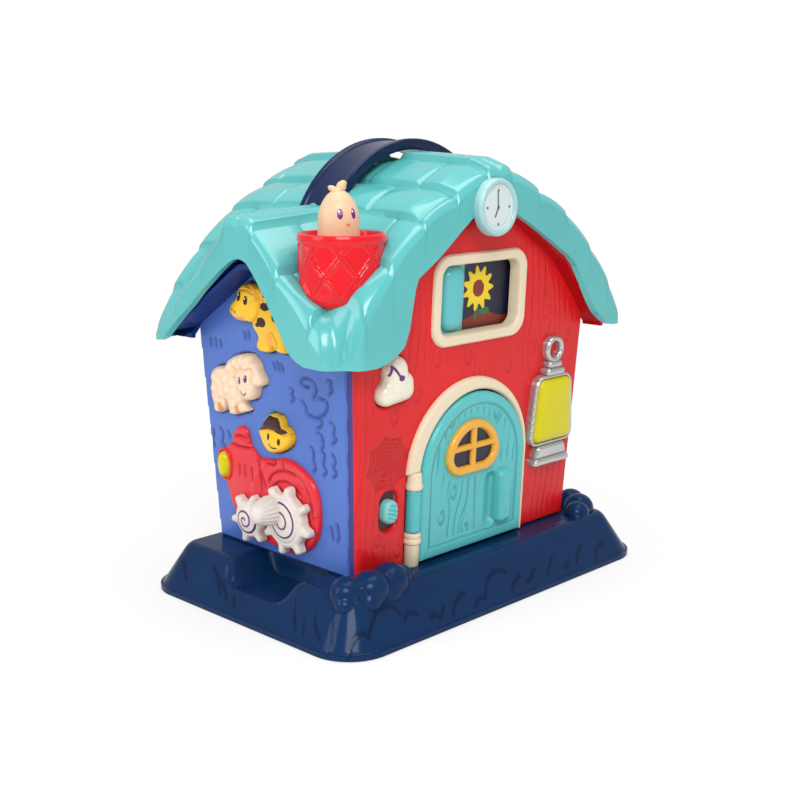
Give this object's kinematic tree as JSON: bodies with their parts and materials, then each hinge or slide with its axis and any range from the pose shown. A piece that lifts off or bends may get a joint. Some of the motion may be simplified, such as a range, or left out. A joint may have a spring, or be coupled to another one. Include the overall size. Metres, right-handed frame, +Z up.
{
  "type": "musical barn toy",
  "caption": "Toddler's toy barn with a hinged door, sliding shutter, press buttons, a crank that turns meshed gears, a press-down chick and a carry handle.",
  "frame": {"origin": "middle of the base's footprint, on the floor", "axes": "+X to the right along the door side, +Y from the door side to the back, +Z up"},
  "size_m": [0.27, 0.184, 0.27],
  "materials": {
    "base_navy": "glossy",
    "wall_red": "glossy",
    "wall_blue": "glossy",
    "roof_teal": "glossy",
    "handle_navy": "glossy",
    "cream": "glossy",
    "clock_print": "printed label",
    "basket_red": "glossy",
    "chick_cream": "glossy",
    "shutter_teal": "glossy",
    "card_navy": "printed card",
    "door_teal": "glossy",
    "pane_yellow": "glossy",
    "bell_pearl": "glossy",
    "switch_teal": "glossy",
    "silver": "silver glossy",
    "lens_yellow": "translucent",
    "cow_yellow": "glossy",
    "sheep_cream": "glossy",
    "farmer_yellow": "glossy",
    "tractor_red": "glossy",
    "gear_cream": "glossy",
    "room_brown": "matte",
    "inner_grey": "matte",
    "board_green": "lacquered",
    "pad_rubber": "matte",
    "steel": "brushed",
    "cell_jacket": "glossy"
  },
  "bodies": {
    "house": {"base_tray": "base_navy", "base_plate": "base_navy", "battery_door": "base_navy", "battery_door_screw": "steel", "batteries": "cell_jacket", "battery_contacts": "steel", "base_screws": "steel", "front_wall": "wall_red", "left_wall": "wall_blue", "right_wall": "wall_blue", "back_wall": "wall_red", "front_soffit": "wall_red", "back_soffit": "wall_red", "left_soffit": "wall_blue", "right_soffit": "wall_blue", "carry_handle": "handle_navy", "roof_shell": "roof_teal", "handle_screws": "steel", "clock_bezel": "cream", "clock_face": "clock_print", "basket": "basket_red", "window_frame": "cream", "shutter_track": "inner_grey", "window_card": "card_navy", "door_frame": "cream", "hinge_pin": "steel", "room_liner": "room_brown", "front_button_board": "board_green", "bell_pad": "pad_rubber", "left_button_board": "board_green", "left_button_pads": "pad_rubber", "switch_body": "inner_grey", "lantern_frame": "silver", "lantern_lens": "lens_yellow", "lamps": "lens_yellow", "tractor_panel": "tractor_red", "headlamp_lens": "lens_yellow", "gear_axles": "inner_grey", "main_board": "board_green", "speaker": "inner_grey", "speaker_clamp": "inner_grey"},
    "door": {"door": "door_teal", "door_window": "pane_yellow"},
    "shutter": {"shutter": "shutter_teal"},
    "chick": {"chick": "chick_cream", "chick_clip": "inner_grey"},
    "bell_button": {"bell_button": "bell_pearl"},
    "cow_button": {"cow_button": "cow_yellow"},
    "sheep_button": {"sheep_button": "sheep_cream"},
    "farmer_button": {"farmer_button": "farmer_yellow"},
    "switch_thumb": {"switch_thumb": "switch_teal"},
    "crank_gear": {"large_gear": "gear_cream", "crank_knob": "gear_cream"},
    "small_gear": {"small_gear": "gear_cream"}
  },
  "joints": [
    {"name": "door_hinge", "type": "hinge", "parent": "house", "child": "door", "pos_m": [-0.0518, -0.05825, 0.06143], "axis": [0, 0.0523, -0.9986], "range_deg": [0, 95]},
    {"name": "shutter_slide", "type": "slide", "parent": "house", "child": "shutter", "axis": [1, 0, 0], "range_m": [-0.003, 0.0395]},
    {"name": "chick_press", "type": "slide", "parent": "house", "child": "chick", "axis": [0, 0, -1], "range_m": [0, 0.008], "stiffness_N_per_m": 400, "springref_m": -0.002},
    {"name": "bell_press", "type": "slide", "parent": "house", "child": "bell_button", "axis": [0, 0.9986, 0.0523], "range_m": [0, 0.003], "stiffness_N_per_m": 500, "springref_m": -0.002},
    {"name": "cow_press", "type": "slide", "parent": "house", "child": "cow_button", "axis": [0.9986, 0, 0.0523], "range_m": [0, 0.003], "stiffness_N_per_m": 500, "springref_m": -0.002},
    {"name": "sheep_press", "type": "slide", "parent": "house", "child": "sheep_button", "axis": [0.9986, 0, 0.0523], "range_m": [0, 0.003], "stiffness_N_per_m": 500, "springref_m": -0.002},
    {"name": "farmer_press", "type": "slide", "parent": "house", "child": "farmer_button", "axis": [0.9986, 0, 0.0523], "range_m": [0, 0.003], "stiffness_N_per_m": 500, "springref_m": -0.002},
    {"name": "switch_slide", "type": "slide", "parent": "house", "child": "switch_thumb", "axis": [0, -0.0523, 0.9986], "range_m": [-0.0044, 0.0044]},
    {"name": "crank_turn", "type": "hinge", "parent": "house", "child": "crank_gear", "pos_m": [-0.10141, -0.0045, 0.0548], "axis": [-0.9986, 0, -0.0523], "continuous": true},
    {"name": "small_gear_turn", "type": "hinge", "parent": "house", "child": "small_gear", "pos_m": [-0.1011, 0.02846, 0.04881], "axis": [-0.9986, 0, -0.0523], "continuous": true}
  ],
  "couplings": [
    {"joint": "small_gear_turn", "follows": "crank_turn", "ratio": -1.3333}
  ]
}
